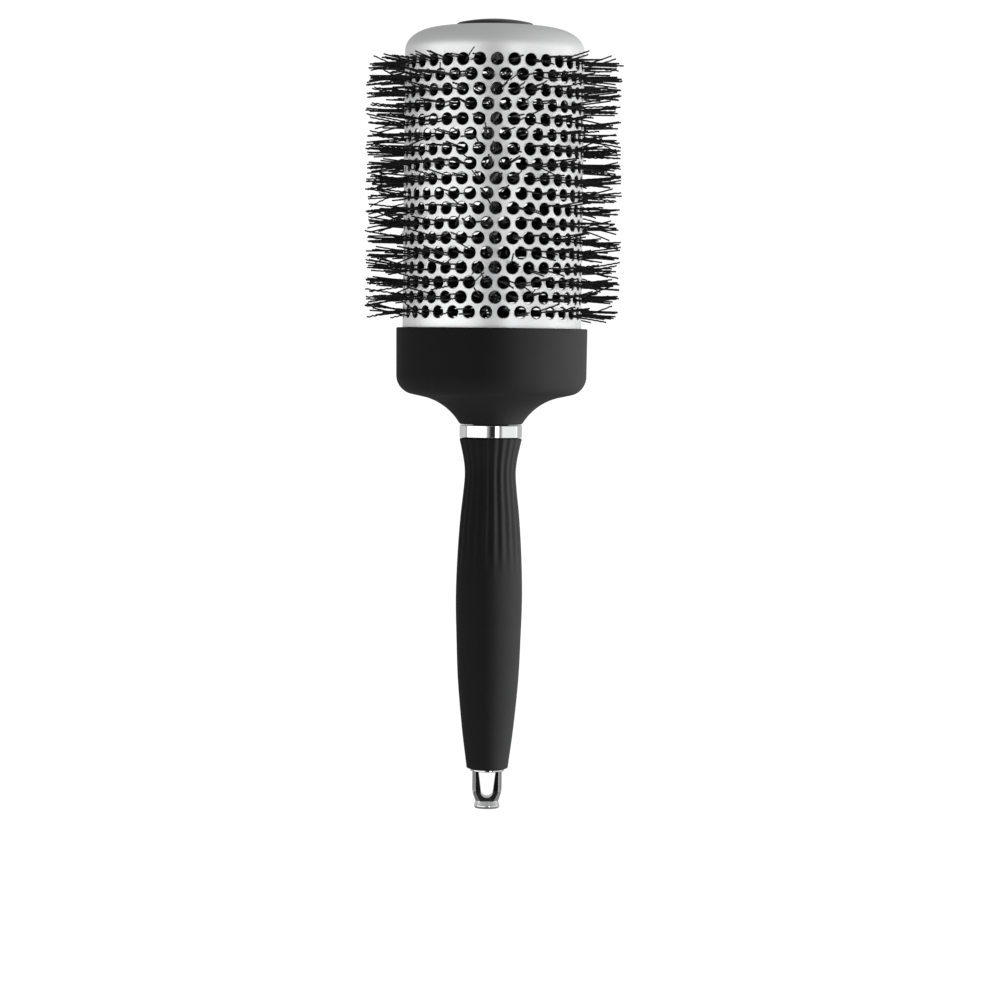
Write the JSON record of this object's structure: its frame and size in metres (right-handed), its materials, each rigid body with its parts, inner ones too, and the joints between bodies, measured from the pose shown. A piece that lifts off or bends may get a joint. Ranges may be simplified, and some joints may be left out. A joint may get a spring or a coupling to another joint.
{
  "type": "round hair brush",
  "caption": "Round blow-dry brush: vented barrel with radial bristles on a twisted-wire core, soft-touch collar and fluted grip, and a sectioning pick that slides out of the handle.",
  "frame": {"origin": "centre of the flat foot of the pick's loop, the lowest point of the brush, on the axis of barrel and handle", "axes": "+Z along the brush from the foot up through the handle to the barrel's end cap; the eye in the pick's loop runs through along Y, and -Y is the front; X is across"},
  "size_m": [0.0938, 0.0938, 0.287],
  "materials": {
    "barrel_coating": "satin ceramic coating on spun aluminium",
    "cap_plastic": "satin",
    "chrome_trim": "mirror",
    "core_steel": "drawn wire",
    "soft_touch": "soft-touch matt",
    "rigid_plastic": "moulded",
    "bristle_nylon": "crimped filament",
    "drag_rubber": "matt"
  },
  "bodies": {
    "brush": {"barrel": "barrel_coating", "end_cap": "cap_plastic", "top_crimp": "core_steel", "core_wire_a": "core_steel", "core_wire_b": "core_steel", "bristle_row_01": "bristle_nylon", "bristle_row_02": "bristle_nylon", "bristle_row_03": "bristle_nylon", "bristle_row_04": "bristle_nylon", "bristle_row_05": "bristle_nylon", "bristle_row_06": "bristle_nylon", "bristle_row_07": "bristle_nylon", "bristle_row_08": "bristle_nylon", "bristle_row_09": "bristle_nylon", "bristle_row_10": "bristle_nylon", "bristle_row_11": "bristle_nylon", "bristle_row_12": "bristle_nylon", "bristle_row_13": "bristle_nylon", "bristle_row_14": "bristle_nylon", "bristle_row_15": "bristle_nylon", "bristle_row_16": "bristle_nylon", "bristle_row_17": "bristle_nylon", "bristle_row_18": "bristle_nylon", "barrel_seat": "rigid_plastic", "collar": "soft_touch", "trim_ring": "chrome_trim", "core_tube": "rigid_plastic", "tail_crimp": "core_steel", "grip": "soft_touch", "pick_guide": "rigid_plastic", "friction_ring": "drag_rubber"},
    "pick": {"pick_loop": "chrome_trim", "pick_shaft": "core_steel", "pick_stop": "core_steel"}
  },
  "joints": [
    {"name": "pick_slide", "type": "slide", "parent": "brush", "child": "pick", "axis": [0, 0, -1], "range_m": [0, 0.068]}
  ]
}
